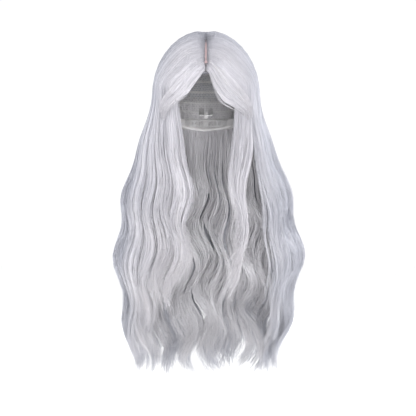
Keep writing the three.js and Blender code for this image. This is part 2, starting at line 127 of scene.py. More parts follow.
# Lower and upper edge of each half of the fringe from the front, (x, z) as if on the wearer's left.
FRINGE = {
    RIGHT: (
        [(2.6, -70), (10, -82), (24, -100), (40, -118), (60, -132), (70, -146), (75, -164)],
        [(3, -42), (22, -60), (42, -82), (64, -106), (79, -124), (84, -141), (80, -165)],
    ),
    LEFT: (
        [(2.6, -70), (8, -84), (16, -104), (29, -124), (50, -136), (69, -149), (80, -165)],
        [(3, -42), (24, -60), (40, -80), (56, -97), (72, -116), (84, -137), (85, -166)],
    ),
}


# ---- Small maths ------------------------------------------------------------------------------------
def mix(a, b, t):
    return a + (b - a) * t


def smooth(low, high, x):
    t = np.clip((x - low) / (high - low), 0, 1)
    return t * t * (3 - 2 * t)


def unit(v):
    return v / np.maximum(np.linalg.norm(v, axis=-1, keepdims=True), 1e-9)


def vectors(*components):
    return np.stack(np.broadcast_arrays(*components), axis=-1)


def through(points, t, lead=None):
    """Points on the smooth curve through points[..., k, :], at t from 0 to 1. The curve comes in
    from lead, or straight if there is none."""
    first = 2 * points[..., :1, :] - points[..., 1:2, :] if lead is None else lead
    last = 2 * points[..., -1:, :] - points[..., -2:-1, :]
    held = np.concatenate([first, points, last], axis=-2)
    spans = points.shape[-2] - 1
    span = np.minimum((t * spans).astype(int), spans - 1)
    w = (t * spans - span)[..., None]
    a, b, c, d = (
        np.take_along_axis(held, (span + k)[..., None, None], axis=-2)[..., 0, :] for k in range(4)
    )
    return b + 0.5 * w * (c - a + w * (2 * a - 5 * b + 4 * c - d + w * (3 * (b - c) + d - a)))


# ---- The way the hair flows -------------------------------------------------------------------------
def crown_azimuth(side, azimuth):
    """On the wearer's left the hair parts below the temple. Over the crown that gap is closed."""
    if side == RIGHT:
        return azimuth
    return np.interp(azimuth, [0, 34, 49.5, 54.3, 67, 180], [0, 34, 52, 52, 67, 180])


def over_head(side, azimuth, depth, u, gap):
    """From the parting (u 0) to the temples' level (u 1) on the shortest arc over the head, eased
    sideways near its end so that it arrives there straight down.

    Known fault: past 180 degrees arctan2 turns negative, and the easing goes the long way round.
    """
    up = np.radians(np.interp(azimuth, PARTING[:, 0], PARTING[:, 1]))
    around = np.radians(azimuth)
    arc = np.arccos(np.cos(up) * np.cos(around))
    near, far = np.sin((1 - u) * arc) / np.sin(arc), np.sin(u * arc) / np.sin(arc)
    across, ahead, rise = far * np.sin(around), near * np.cos(up) + far * np.cos(around), near * np.sin(up)
    turned = mix(np.arctan2(across, ahead), around, smooth(0.55, 1, u))
    reach = np.hypot(across, ahead)
    along = vectors(reach * np.sin(turned), -reach * np.cos(turned), rise)
    closed = smooth(*CLOSING, azimuth)[..., None]
    lift = mix(smooth(0, 0.4, u[..., None]) ** 0.75, np.sqrt(smooth(0, 0.15, u[..., None])), closed)
    inner = mix(ROOT_OFFSET[0], FULL_OFFSET[0], lift)
    outer = mix(mix(ROOT_OFFSET[1], CLOSED_OFFSET, closed), FULL_OFFSET[1], lift)
    size = HEAD + mix(inner, outer, depth[..., None])
    point = size * along
    point[..., 0] = side * (point[..., 0] + gap * (1 - u) ** 2)
    point[..., 2] += TEMPLES
    out = along / size
    out[..., 0] *= side
    return point, unit(out)


def waypoints(side, azimuth, depth):
    """The waypoints of hanging strands, moved in from the outer face by their depth."""
    guides = GUIDES[side]
    known = [g[0] for g in guides]
    ways = np.array([g[1] for g in guides], float)
    outer = vectors(
        *(
            np.stack([np.interp(azimuth, known, ways[:, k, axis]) for k in range(4)], axis=-1)
            for axis in range(3)
        )
    )
    inward = unit(vectors(-outer[..., 0], 10 - outer[..., 1], 0 * outer[..., 0]))
    outer = outer + inward * ((1 - depth) * CURTAIN)[..., None, None]
    return outer * [side, 1, 1]


def hanging(side, azimuth, depth, u, phase, swing_size, gap):
    """From the temples' level down to the tip, with S waves that grow on the way."""
    top, _ = over_head(side, crown_to_fall(side, azimuth, 1.0), depth, np.ones_like(u), gap)
    points = np.concatenate([top[..., None, :], waypoints(side, azimuth, depth)], axis=-2)
    point = through(points, u, top[..., None, :] + [0, 0, SHOULDER])
    swing = 2 * math.pi * (point[..., 2] / WAVE["length"] + lag(side, azimuth)) + phase
    size = WAVE["depth"] * swing_size * smooth(-WAVE["start"], -WAVE["full"], -point[..., 2])
    out = unit(vectors(point[..., 0], point[..., 1] - 10, 0 * u))
    sideways = vectors(-out[..., 1], out[..., 0], 0 * u)
    point = point + sideways * (size * np.sin(swing))[..., None]
    point = point - out * (0.5 * size * (1 + np.cos(swing)))[..., None]
    return point, out


def clear_of_head(point):
    """Moves what lies inside the cap's outer face sideways until it clears it, down to the nape."""
    out = HEAD + HAIR_CLEAR
    height = np.where(point[..., 2] > TEMPLES, out[2], HEAD_DOWN + HAIR_CLEAR)
    ring = np.sqrt(np.maximum(0, 1 - ((point[..., 2] - TEMPLES) / height) ** 2))
    ring = ring * smooth(-212, -180, point[..., 2])
    reach = np.maximum(np.hypot(point[..., 0] / out[0], point[..., 1] / out[1]), 1e-6)
    point[..., :2] *= np.maximum(1, ring / reach)[..., None]
    return point


def lag(side, azimuth):
    """How far the S waves run ahead at an azimuth, in wave lengths."""
    return (180 - azimuth) / (140 if side == LEFT else 105)


def crown_to_fall(side, azimuth, u):
    """The azimuth over the crown, which turns into that of the hanging hair at the temples."""
    return mix(crown_azimuth(side, azimuth), azimuth, smooth(0.8, 1.25, u))


def flow(side, azimuth, depth, u, phase=0.0, swing_size=1.0, gap=2.0):
    """Points and outward directions of strands. u is 0 at the parting, 1 at the temples, 2 at the tip."""
    azimuth, depth, u, phase, swing_size, gap = np.broadcast_arrays(azimuth, depth, u, phase, swing_size, gap)
    eased = crown_to_fall(side, azimuth, u)
    top, top_out = over_head(side, eased, depth, np.minimum(u, 1), gap)
    fall, fall_out = hanging(side, eased, depth, np.clip(u - 1, 0, 1.2), phase, swing_size, gap)
    below = (u > 1)[..., None]
    return np.where(below, fall, top), np.where(below, fall_out, top_out)


# ---- Strands as meshes ------------------------------------------------------------------------------
SEGMENTS = 36  # stretches along each strand
RIBBON = np.array([(-1.0, -0.12), (1.0, -0.12), (0.0, 0.5)])  # a flat bundle of fibres
ROUND = np.array([(-0.87, -0.5), (0.87, -0.5), (0.0, 1.0)])  # a thin round thread


def stations(start, end, count=SEGMENTS):
    """u along each strand, three times as dense below the temples, where the waves are."""

    def dense(u):
        return np.where(u < 1, u, 1 + 3 * (u - 1))

    share = np.linspace(0, 1, count + 1)
    d = mix(dense(start)[:, None], dense(end)[:, None], share)
    return np.where(d < 1, d, 1 + (d - 1) / 3)


def thread_mesh(name, point, out, half_width, section=RIBBON, roll=0.0, tone=0.5):
    """A mesh of closed threads. point and out are (threads, stations, 3), in millimetres.

    The section's corners are across and outwards from the thread's path, in half widths.
    """
    count, rings, _ = point.shape
    along = unit(np.gradient(point, axis=1))
    across = unit(np.cross(along, out))
    out = np.cross(across, along)
    turn = np.broadcast_to(roll, (count, rings))[..., None]
    across, out = (
        across * np.cos(turn) + out * np.sin(turn),
        out * np.cos(turn) - across * np.sin(turn),
    )
    width = np.broadcast_to(half_width, (count, rings))[..., None, None]
    offsets = section[:, 0, None] * across[..., None, :] + section[:, 1, None] * out[..., None, :]
    vertices = (point[..., None, :] + width * offsets) * MM

    corners = len(section)
    ring = np.arange(count * rings).reshape(count, rings) * corners
    a, b = ring[:, :-1, None], ring[:, 1:, None]
    k = np.arange(corners)
    following = (k + 1) % corners
    quads = np.stack([a + k, a + following, b + following, b + k], axis=-1).reshape(-1, 4)
    caps = np.concatenate([ring[:, 0, None] + k[::-1], ring[:, -1, None] + k])

    mesh = bpy.data.meshes.new(name)
    mesh.vertices.add(vertices.size // 3)
    mesh.vertices.foreach_set("co", vertices.reshape(-1))
    loops = np.concatenate([quads.reshape(-1), caps.reshape(-1)])
    mesh.loops.add(len(loops))
    mesh.loops.foreach_set("vertex_index", loops.astype(np.int32))
    sizes = np.concatenate([np.full(len(quads), 4), np.full(len(caps), corners)])
    mesh.polygons.add(len(sizes))
    starts = np.concatenate([[0], np.cumsum(sizes)[:-1]])
    mesh.polygons.foreach_set("loop_start", starts.astype(np.int32))
    mesh.polygons.foreach_set("use_smooth", np.ones(len(sizes), bool))
    mesh.update(calc_edges=True)
    shade = mesh.attributes.new("tone", "FLOAT", "POINT")
    spread = np.repeat(np.broadcast_to(tone, (count, rings)).reshape(-1), corners)
    shade.data.foreach_set("value", spread.astype(np.float32))
    made = bpy.data.objects.new(name, mesh)
    scene.collection.objects.link(made)
    return made


def tapered(count, width, rng, tip=0.2):
    """Half width along each strand: thin at the root, full, then fading to the tip."""
    share = np.linspace(0, 1, SEGMENTS + 1)
    shape = mix(0.6, 1, smooth(0, 0.08, share)) * mix(1, tip, smooth(0.72, 1, share))
    return width * rng.uniform(0.75, 1.2, (count, 1)) * shape


def rolls(count, rng, spread=0.3):
    """Each ribbon of fibres lies a little turned out of the surface, and turns on along its length."""
    share = np.linspace(0, 1, SEGMENTS + 1)
    turn = rng.uniform(-1, 1, (count, 1)) * 0.35
    wave = np.sin(share * rng.uniform(4, 11, (count, 1)) + rng.uniform(0, 6.3, (count, 1)))
    return spread * rng.normal(0, 1, (count, 1)) + turn * wave


# ---- Locks of hair ----------------------------------------------------------------------------------
def sway(side, azimuth, seed):
    """A slow random change around the head, about -1 to 1, the same for every strand at a place."""
    rng = np.random.default_rng(seed)
    around = np.radians(180 + side * (180 - azimuth))
    waves = [np.sin(k * around + rng.uniform(0, 6.3)) / math.sqrt(k) for k in (3, 5, 8, 13)]
    return sum(waves) / 1.6


NARROW = 4  # narrow clumps in each broad one
# Tone runs from 0, dark, to 1, light. Each of these is painted light or painted shade, added or taken away
# along a strand: painted shade on the crown, at the roots by the parting and by the temples, and painted
# light on the tips and on the inner strands.
PAINTED_LIGHT_AND_SHADE = {"crown": 0.26, "tips": 0.35, "inside": 0.35, "roots": 0.3, "temples": 0.25}


def clumped(side, low, high, ranks, end, count, rng, roots=(0.0, 0.03), crown=(0.9, 1.0), narrowing=1.0,
            wide=7.0, fray=0.03, bend=22.0, lean=0.0, longest=LONGEST):
    """Strands of one lock. Over the head they lie side by side; on the way down they gather into
    broad clumps of narrow ones, which draw together towards the tips.

    Azimuths run from low to high. Ranks go from 0, next to the scalp, to 1, the outer face of the
    hanging hair, and crown is the same over the head. Roots is where along the way strands start,
    narrowing the share of its breadth that the lock keeps, wide a broad clump's breadth in degrees,
    fray how unevenly strands end, bend how far their tips curl, and lean how far they lean towards
    the face's middle.
    """
    broad = max(2, round((high - low) / wide))
    total = broad * NARROW
    pitch = (high - low) / broad
    share = rng.uniform(0, total, count)
    group = share.astype(int)
    b = group // NARROW
    spot = 2 * (share - group) - 1
    seat = 2 * ((group % NARROW) + 0.5) / NARROW - 1

    def each(values):
        return values[:, None]

    def vary(broad_size, narrow_size):
        return rng.normal(0, broad_size, broad)[b] + rng.normal(0, narrow_size, total)[group]

    broad_rank = rng.uniform(mix(*ranks, 0.15), mix(*ranks, 0.85), broad)[b]
    rank = np.clip(broad_rank + vary(0, 0.1) + rng.normal(0, 0.1, count), *ranks)
    start = rng.uniform(*roots, count)
    reach = end - fray * (rng.uniform(0, 1.4, broad)[b] + rng.uniform(0, 1.0, total)[group])
    finish = reach - np.abs(rng.normal(0, 1.2 * fray, count)) - 0.02 * np.abs(seat)
    finish = np.minimum(finish, longest - rng.uniform(0, 0.03, count))
    u = stations(start, finish)
    fall, tipward = smooth(0.95, 1.6, u), smooth(1.5, 2.0, u)

    together = mix(1.0, 0.95, fall) * mix(1.0, 0.89, tipward)
    bunched = mix(1.0, 0.92, fall) * mix(1.0, 0.7, tipward)
    phase = each(vary(0.3, 0.1))
    azimuth = low + pitch * (each(b) + 0.5) + fall * each(vary(0.1 * pitch, 0.1))
    azimuth = azimuth + 0.5 * pitch * (each(seat) * together + each(spot) * bunched / NARROW)
    azimuth = azimuth + each(vary(1.5, 0.4)) * np.sin(2.6 * (u - 0.7) + phase * 5) * fall
    azimuth = azimuth + rng.normal(0, 0.35, (count, 1)) * tipward
    middle = (low + high) / 2
    azimuth = middle + (azimuth - middle) * mix(1.0, narrowing, smooth(1.25, 1.72, u))

    settled = smooth(0.75, 1.4, u)
    risen = np.clip((u - each(start)) / mix(0.045, 0.4, each(start)), 0, 1) ** 0.6
    closed = smooth(*CLOSING, azimuth)
    risen = mix(risen, mix(0.9, 1.0, risen), closed * (each(start) < 0.03))
    crest = 0.05 * (1 - each(seat) ** 2) + 0.02 * (1 - each(spot) ** 2)
    depth = mix(rng.uniform(*crown, (count, 1)), each(rank), settled) * risen + (crest - 0.04) * fall
    depth = mix(depth, each(broad_rank) + (depth - each(broad_rank)) * 0.75, tipward)
    gap = mix(rng.uniform(1.0, 2.8, (count, 1)), rng.uniform(-3, 0.5, (count, 1)), closed)
    shift = 0.9 * sway(side, azimuth, 11) * smooth(1.1, 1.6, u) + phase * fall
    size = 1 + 0.3 * sway(side, azimuth, 12) + each(vary(0.05, 0.05))
    size = size * mix(FRONT_WAVE[side], 1.0, smooth(44, 78, azimuth))
    size = size * (1 + SIDE_WAVE[side] * smooth(60, 80, azimuth) * (1 - smooth(110, 150, azimuth)))
    point, out = flow(side, azimuth, depth, u, shift, size, gap)

    sideways = np.cross(out, [0, 0, 1.0])
    near_tip = np.clip((u - each(finish) + 0.2) / 0.2, 0, 1) ** 1.9
    bent = side * lean + each(vary(bend, 0.4 * bend)) + rng.normal(0, 6, (count, 1))
    point = point + sideways * (bent * near_tip)[..., None]
    point[..., 2] += np.abs(bent) * 0.45 * near_tip
    free = np.where(rng.uniform(0, 1, (count, 1)) < 0.04, 3.0, 1.0)
    stray = rng.normal(0, 1, (count, 1, 3)) * (free * mix(0.15, 1.3, fall))[..., None]
    ripple = np.sin(u[..., None] * rng.uniform(5, 14, (count, 1, 3)) + rng.uniform(0, 6.3, (count, 1, 3)))
    point = clear_of_head(point + stray * ripple * smooth(0, 0.2, u - each(start))[..., None])
    tone = 0.5 + each(vary(0.04, 0.07)) + rng.normal(0, 0.11, (count, 1))
    # Painted shade darkens the crown, where light from above falls strongest; painted light lightens the
    # tips.
    tone = tone - PAINTED_LIGHT_AND_SHADE["crown"] * (1 - smooth(0.7, 1.25, u)) + PAINTED_LIGHT_AND_SHADE["tips"] * tipward
    # Painted light lightens the strands that lie inside the hair, in the shade of the outer strands.
    tone = tone + PAINTED_LIGHT_AND_SHADE["inside"] * (1 - np.clip(depth, 0, 1)) * fall
    # Painted shade darkens the roots along the parting, in narrow clumps, where the roots shade each other.
    root = np.abs(rng.normal(0, PAINTED_LIGHT_AND_SHADE["roots"], (count, 1)) + each(vary(0, 0.25)))
    tone = tone - root * (1 - smooth(0, 0.3, u))
    # Painted shade darkens the face hair by the temples, which lies in shade under the fringe and on the
    # sides.
    temple = smooth(0.8, 1.0, u) * (1 - smooth(1.2, 1.5, u)) * (1 - smooth(46, 70, azimuth))
    tone = tone - PAINTED_LIGHT_AND_SHADE["temples"] * temple
    return point, out, tone


def hair_piece(name, body, nodes, batches, rng, width, material):
    """One object from batches of (point, out, tone), riding on a body and standing for CAD nodes."""
    point, out, tone = (np.concatenate(parts) for parts in zip(*batches))
    made = thread_mesh(
        name, point, out, tapered(len(point), width, rng), RIBBON, rolls(len(point), rng), tone
    )
    made.data.materials.append(material)
    if body:
        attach(made, body)
    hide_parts(*nodes)
    return made


# ---- Materials --------------------------------------------------------------------------------------
class Nodes:
    """A new material's node tree, with short calls to add and link nodes."""

    def __init__(self, name, roughness, **plain):
        self.material = bpy.data.materials.new(name)
        self.material.use_nodes = True
        self.tree = self.material.node_tree
        self.shader = self.tree.nodes["Principled BSDF"]
        self.shader.inputs["Roughness"].default_value = roughness
        for socket, value in plain.items():
            self.shader.inputs[socket.replace("_", " ")].default_value = value

    def add(self, kind, settings=None, **inputs):
        node = self.tree.nodes.new(kind)
        for key, value in (settings or {}).items():
            setattr(node, key, value)
        for key, value in inputs.items():
            socket = node.inputs[int(key[1:]) if key[0] == "_" and key[1:].isdigit() else key]
            if isinstance(value, bpy.types.NodeSocket):
                self.tree.links.new(value, socket)
            else:
                socket.default_value = value
        return node

    def ramp(self, factor, *stops):
        node = self.add("ShaderNodeValToRGB", Fac=factor)
        elements = node.color_ramp.elements
        while len(elements) < len(stops):
            elements.new(0.5)
        for element, (place, color) in zip(elements, stops):
            element.position = place
            element.color = (*color, 1)
        return node.outputs["Color"]

    def place(self):
        return self.add("ShaderNodeTexCoord").outputs["Object"]

    def color(self, socket):
        self.tree.links.new(socket, self.shader.inputs["Base Color"])

    def bump(self, height, distance, strength=1.0):
        node = self.add("ShaderNodeBump", Height=height, Distance=distance, Strength=strength)
        self.tree.links.new(node.outputs["Normal"], self.shader.inputs["Normal"])


def make_hair_material(name, dark, middle, light, warm):
    """Synthetic fibre: each strand has its own tone, which also carries painted shade and painted light
    along the strand, broad soft patches run across the locks, and the hair around the face is warmer
    than the hair of the sides and the back."""
    n = Nodes(name, 0.45)
    n.shader.inputs["Specular IOR Level"].default_value = 0.3
    tone = n.add("ShaderNodeAttribute", {"attribute_name": "tone"}).outputs["Fac"]
    place = n.place()
    stretch = n.add("ShaderNodeMapping", _0=place, Scale=(16, 16, 4)).outputs[0]
    cloud = n.add("ShaderNodeTexNoise", Vector=stretch, Scale=1.0, Detail=3.0).outputs[0]
    soft = n.add("ShaderNodeMath", {"operation": "MULTIPLY_ADD"}, _0=cloud, _1=0.4, _2=-0.2).outputs[0]
    both = n.add("ShaderNodeMath", {"operation": "ADD"}, _0=tone, _1=soft).outputs[0]
    cool = n.ramp(both, (0.1, dark), (0.5, middle), (0.9, light))
    backward = n.add("ShaderNodeSeparateXYZ", Vector=place).outputs["Y"]
    front = n.add("ShaderNodeMapRange", Value=backward, _1=-0.03, _2=-0.085, _3=0.0, _4=1.0).outputs[0]
    tint = n.add("ShaderNodeMix", {"data_type": "RGBA"}, _0=front, _6=(0.93, 0.93, 0.945, 1),
                 _7=(*warm, 1)).outputs[2]
    tinted = n.add("ShaderNodeMix", {"data_type": "RGBA", "blend_type": "MULTIPLY"}, _0=1.0, _6=cool,
                   _7=tint)
    n.color(tinted.outputs[2])
    return n.material


hair_material = make_hair_material(
    "silver_fibre", (0.46, 0.47, 0.525), (0.62, 0.63, 0.69), (0.76, 0.77, 0.82), (1.0, 0.965, 0.945)
)
# The inner hair is the same fibre painted lighter: painted light in place of the light the outer hair keeps
# off it.
painted_light_under_material = make_hair_material(
    "silver_fibre_inner_painted_light", (0.60, 0.58, 0.61), (0.80, 0.785, 0.81), (0.90, 0.89, 0.91), (1.0, 0.97, 0.95)
)

# ---- The hair ---------------------------------------------------------------------------------------
STRANDS_PER_DEGREE = {"outer": 24, "middle": 10, "under": 12}
WIDTH = 0.62  # half width of a ribbon of fibres
UNDER_WIDTH = WIDTH * 1.15
UNDER_END = 2.03  # how far the inner layer reaches, before its tips fray
FRONT, BACK = 60, 105  # azimuths where the front hair ends and the back hair starts
# The tips of the front hair: narrow clumps of uneven length that lean towards the face's middle.
FRONT_TIPS = {"wide": 4.0, "fray": 0.11, "bend": 6.0, "lean": 11.0, "longest": 2.07}
LONGER = {"front": 0.13, "side": 0.07, "back": 0.1}  # reach past a lock's end, before the tips fray
OVERLAP = 0.3  # how far each lock spreads into its neighbours, in degrees


def lock_batches(side, low, high, end, rng, narrowing=1.0):
    """The outer strands of a lock, and those that start inside it over the head."""
    span = high - low
    front = high < FRONT
    tips = FRONT_TIPS if front else {}
    longer = LONGER["front" if front else "back" if low > BACK else "side"]
    low, high = low - OVERLAP, high + OVERLAP
    outer = clumped(side, low, high, (0.7, 1.0), end + longer, int(STRANDS_PER_DEGREE["outer"] * span),
                    rng, narrowing=narrowing, **tips)
    middle = clumped(side, low, high, (0.2, 0.8), end + longer, int(STRANDS_PER_DEGREE["middle"] * span),
                     rng, roots=(0.03, 0.9), crown=(0.7, 0.9), narrowing=narrowing, **tips)
    return [outer, middle]


for number, side in enumerate(SIDES.values()):
    for k, (node, low, high, end) in enumerate(LOCKS[side]):
        rng = np.random.default_rng(100 * number + k)
        hair_piece("hair_" + node, "cap", [node], lock_batches(side, low, high, end, rng), rng, WIDTH,
                   hair_material)

for name, side in SIDES.items():
    rng = np.random.default_rng(300 + side)
    low, high = FACE_LOCKS[side]
    piece = hair_piece(
        f"hair_face_lock_{name}", None, [f"face_lock_{name}", f"face_lock_root_{name}"],
        lock_batches(side, low, high, 2.0, rng, FACE_NARROWING[side]), rng, WIDTH, hair_material,
    )
    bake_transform(piece)
    for k, (node, low, high) in enumerate(UNDER_LOCKS):
        rng = np.random.default_rng(400 + 10 * side + k)
        count = int(STRANDS_PER_DEGREE["under"] * (high - low))
        batch = clumped(side, low, high, (-0.35, 0.25), UNDER_END, count, rng, roots=(0.95, 1.1),
                        crown=(0.2, 0.5), wide=5.0)
        hair_piece(f"hair_{node}_{name}", "cap", [f"{node}_{name}"], [batch], rng, UNDER_WIDTH,
                   painted_light_under_material)


# ---- Fringe -----------------------------------------------------------------------------------------
FRINGE_CLUMPS = 14
FRINGE_STRANDS = 620
FRINGE_WIDTH = 0.45  # half width of a ribbon of the fringe
FRINGE_DEPTH = {"clear": 0.6, "edge": 0.8, "thick": 3.2, "dip": 8, "temple": 4}  # dip at the brow


def fringe(side, count, rng):
    """Half of the fringe. A strand's share runs from 0, the lower edge, to 1, where it joins the
    hair of the crown; its tips draw together in clumps and curl down at the temple."""
    lower, upper = (
        np.array([(x, 0, z) for x, z in edge], float)[None, None] for edge in FRINGE[side]
    )
    home = rng.beta(0.95, 0.8, (count, 1))
    group = np.minimum((home * FRINGE_CLUMPS).astype(int), FRINGE_CLUMPS - 1)[:, 0]
    seat = (group[:, None] + 0.5) / FRINGE_CLUMPS
    seat = seat + rng.normal(0, 0.03, FRINGE_CLUMPS)[group][:, None]
    finish = rng.uniform(0.86, 1.0, FRINGE_CLUMPS)[group] * (1 - np.abs(rng.normal(0, 0.07, count)))
    t = np.linspace(0, 1, SEGMENTS + 1) * finish[:, None]
    share = mix(home, seat + (home - seat) * 0.45, smooth(0.35, 0.95, t))
    share = share + rng.normal(0, 0.05, (count, 1)) * smooth(0.2, 1, t)
    loose = rng.uniform(0, 1, (count, 1)) < 0.08
    share = np.where(loose, share - rng.uniform(0, 0.5, (count, 1)) * smooth(0, 0.9, t), share)
    low, high = (through(np.broadcast_to(e, (*t.shape, *e.shape[-2:])), t) for e in (lower, upper))
    point = mix(low, high, share[..., None])
    apart = mix(rng.uniform(0.1, 0.9, (count, 1)), rng.uniform(0.9, 2.2, (count, 1)), smooth(0.2, 0.5, home))
    point[..., 0] = np.maximum(point[..., 0] - (2.6 - apart) * (1 - smooth(0, 0.12, t)), 0.1)

    depth = rng.uniform(0, 1, (count, 1))
    bulge = np.clip(4 * share * (1 - share), 0, 1)
    sizes = FRINGE_DEPTH
    dip = sizes["dip"] * np.clip(1 - share, 0, 1) * smooth(0, 0.3, t) * (1 - smooth(0.5, 0.8, t))
    over = sizes["clear"] + (sizes["edge"] + sizes["thick"] * bulge) * depth - dip
    over = over + sizes["temple"] * smooth(0.55, 0.85, t)
    full = (smooth(0, 38, point[..., 0]) ** 0.75)[..., None]
    root = smooth(0, 0.07, t)[..., None]
    size = HEAD + over[..., None] * root + mix(mix(1.0, ROOT_OFFSET[1], root), FULL_OFFSET[1], full * root)
    rise = np.maximum(0, point[..., 2] - TEMPLES) / size[..., 2]
    flat = np.maximum(0, 1 - (point[..., 0] / size[..., 0]) ** 2 - rise**2)
    point[..., 1] = -size[..., 1] * np.sqrt(flat)
    point[..., 0] *= side
    ripple = np.sin(t[..., None] * rng.uniform(4, 10, (count, 1, 3)) + rng.uniform(0, 6, (count, 1, 3)))
    point += ripple * rng.normal(0, 1.0, (count, 1, 3)) * smooth(0.1, 0.7, t)[..., None]
    curl = smooth(0.8, 1, t) * rng.uniform(0.2, 1, (count, 1))
    point[..., 0] -= side * 2 * curl
    out = unit(vectors(point[..., 0], point[..., 1], 0 * t) / HEAD)
    # The fringe is painted darker near its roots at the parting: painted shade, as on the crown.
    tone = 0.5 + rng.normal(0, 0.08, FRINGE_CLUMPS)[group][:, None] + rng.normal(0, 0.15, (count, 1))
    return point, out, tone - 0.2 * (1 - smooth(0, 0.25, t))


for name, side in SIDES.items():
    rng = np.random.default_rng(500 + side)
    hair_piece(f"hair_fringe_{name}", "cap", [f"fringe_{name}"], [fringe(side, FRINGE_STRANDS, rng)],
               rng, FRINGE_WIDTH, hair_material)


# ---- The cap ----------------------------------------------------------------------------------------
# The net's lower edge: azimuth and level, from the forehead over the ear to the nape.
NET_EDGE = np.array(
    [(0, -56), (30, -60), (56, -86), (66, -104), (82, -104), (96, -106), (118, -162), (180, -170)], float
)
EDGE = 1.5  # how far above its lower edge the net starts
LACE_DROP = 11.0  # how far below that edge the lace reaches
LACE_ENDS = 56.0  # azimuth where the lace ends on both sides


def net_edge(azimuth):
    """Level of the net's lower edge."""
    around = np.abs(azimuth)
    i = np.clip(np.searchsorted(NET_EDGE[:, 0], around, side="right"), 1, len(NET_EDGE) - 1)
    before, after = NET_EDGE[i - 1], NET_EDGE[i]
    return mix(before[..., 1], after[..., 1], smooth(before[..., 0], after[..., 0], around))


def on_scalp(azimuth, level, offset):
    """Points out from the scalp at azimuths from -180 to 180, and the outward directions there."""
    around = np.radians(azimuth)
    up = np.where(level > TEMPLES, HEAD[2], HEAD_DOWN) + offset
    rise = np.clip((level - TEMPLES) / up, -1, 1)
    ring = np.sqrt(1 - rise**2)
    x, y = (HEAD[0] + offset) * ring * np.sin(around), -(HEAD[1] + offset) * ring * np.cos(around)
    out = vectors(x / (HEAD[0] + offset) ** 2, y / (HEAD[1] + offset) ** 2, rise / up)
    return vectors(x, y, level + 0 * x), unit(out)


def net_mesh(name, divisions, offset, radius, keep):
    """A knitted net of hexagons round the head: a thread along every edge between two cells.

    keep(azimuth, level) says which threads stay.
    """
    build = bmesh.new()
    bmesh.ops.create_icosphere(build, subdivisions=divisions, radius=1)
    build.faces.ensure_lookup_table()
    centres = np.array([face.calc_center_median() for face in build.faces])
    pairs = np.array([[face.index for face in edge.link_faces] for edge in build.edges])
    build.free()
    centres = unit(centres)
    azimuth = np.degrees(np.arctan2(centres[:, 0], -centres[:, 1]))
    level = TEMPLES + centres[:, 2] * np.where(centres[:, 2] > 0, HEAD[2], HEAD_DOWN)
    inside = keep(azimuth, level)
    pairs = pairs[inside[pairs].all(axis=1)]
    _, out = on_scalp(azimuth, level, offset)
    size = np.where(centres[:, 2:] > 0, HEAD, (HEAD[0], HEAD[1], HEAD_DOWN)) + offset
    point = centres * size + (0, 0, TEMPLES)
    return thread_mesh(name, point[pairs], out[pairs], radius, ROUND)


def on_cap(made, material, *nodes):
    """The made piece rides on the cap and stands for the CAD nodes that are named."""
    made.data.materials.append(material)
    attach(made, "cap")
    if nodes:
        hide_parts(*nodes)


def tape(name, azimuth, level, offset, half_height, half_thick, material):
    """A flat woven tape round the head along a level that may change with the azimuth."""
    point, out = on_scalp(azimuth, level, offset)
    w, t = half_height, half_thick
    section = np.array([(-w, -0.6 * t), (-w, 0.6 * t), (-0.9 * w, t), (0.9 * w, t), (w, 0.6 * t),
                        (w, -0.6 * t), (0.9 * w, -t), (-0.9 * w, -t)])
    made = thread_mesh(name, point[None], out[None], 1.0, section[::-1])
    on_cap(made, material)


def stitches(name, start, end, out, radius, material):
    """A short thread from each start to each end that bulges outwards in its middle."""
    share = np.linspace(0, 1, 5)[:, None]
    bulge = 4 * share * (1 - share) * radius * 1.6
    point = mix(start[:, None], end[:, None], share) + out[:, None] * bulge
    on_cap(thread_mesh(name, point, np.broadcast_to(out[:, None], point.shape), radius, ROUND), material)


def cloth_material(name, dark, light, roughness, pitch, bump):
    """Woven or knitted cloth: two sets of fine ribs, a pitch apart in metres, and uneven dye."""
    n = Nodes(name, roughness)
    n.shader.inputs["Sheen Weight"].default_value = 0.25
    place = n.place()
    scale = 1 / pitch / 3.2
    ribs = [
        n.add("ShaderNodeTexWave", {"bands_direction": direction}, Vector=place, Scale=scale,
              Distortion=0.6, Detail=1.0).outputs["Fac"]
        for direction in ("X", "Z")
    ]
    weave = n.add("ShaderNodeMath", {"operation": "MULTIPLY"}, _0=ribs[0], _1=ribs[1]).outputs[0]
    dye = n.add("ShaderNodeTexNoise", Vector=place, Scale=60.0, Detail=2.0).outputs[0]
    mixed = n.add("ShaderNodeMath", {"operation": "MULTIPLY_ADD"}, _0=weave, _1=0.6, _2=dye).outputs[0]
    n.color(n.ramp(mixed, (0.35, dark), (0.95, light)))
    n.bump(weave, bump)
    return n.material


net_material = cloth_material("net_thread", (0.80, 0.79, 0.80), (0.92, 0.915, 0.92), 0.8, 0.0006, 0.0001)
tape_material = cloth_material("binding_tape", (0.72, 0.70, 0.71), (0.88, 0.87, 0.88), 0.85, 0.0009, 0.0002)
elastic_material = cloth_material("ribbed_elastic", (0.50, 0.49, 0.50), (0.76, 0.75, 0.76), 0.8, 0.0013,
                                  0.0004)
weft_material = cloth_material("weft_stitching", (0.58, 0.57, 0.60), (0.82, 0.81, 0.84), 0.75, 0.0011, 0.0004)
lace_material = cloth_material("sheer_lace", (0.62, 0.50, 0.44), (0.80, 0.68, 0.62), 0.75, 0.0006, 0.0001)


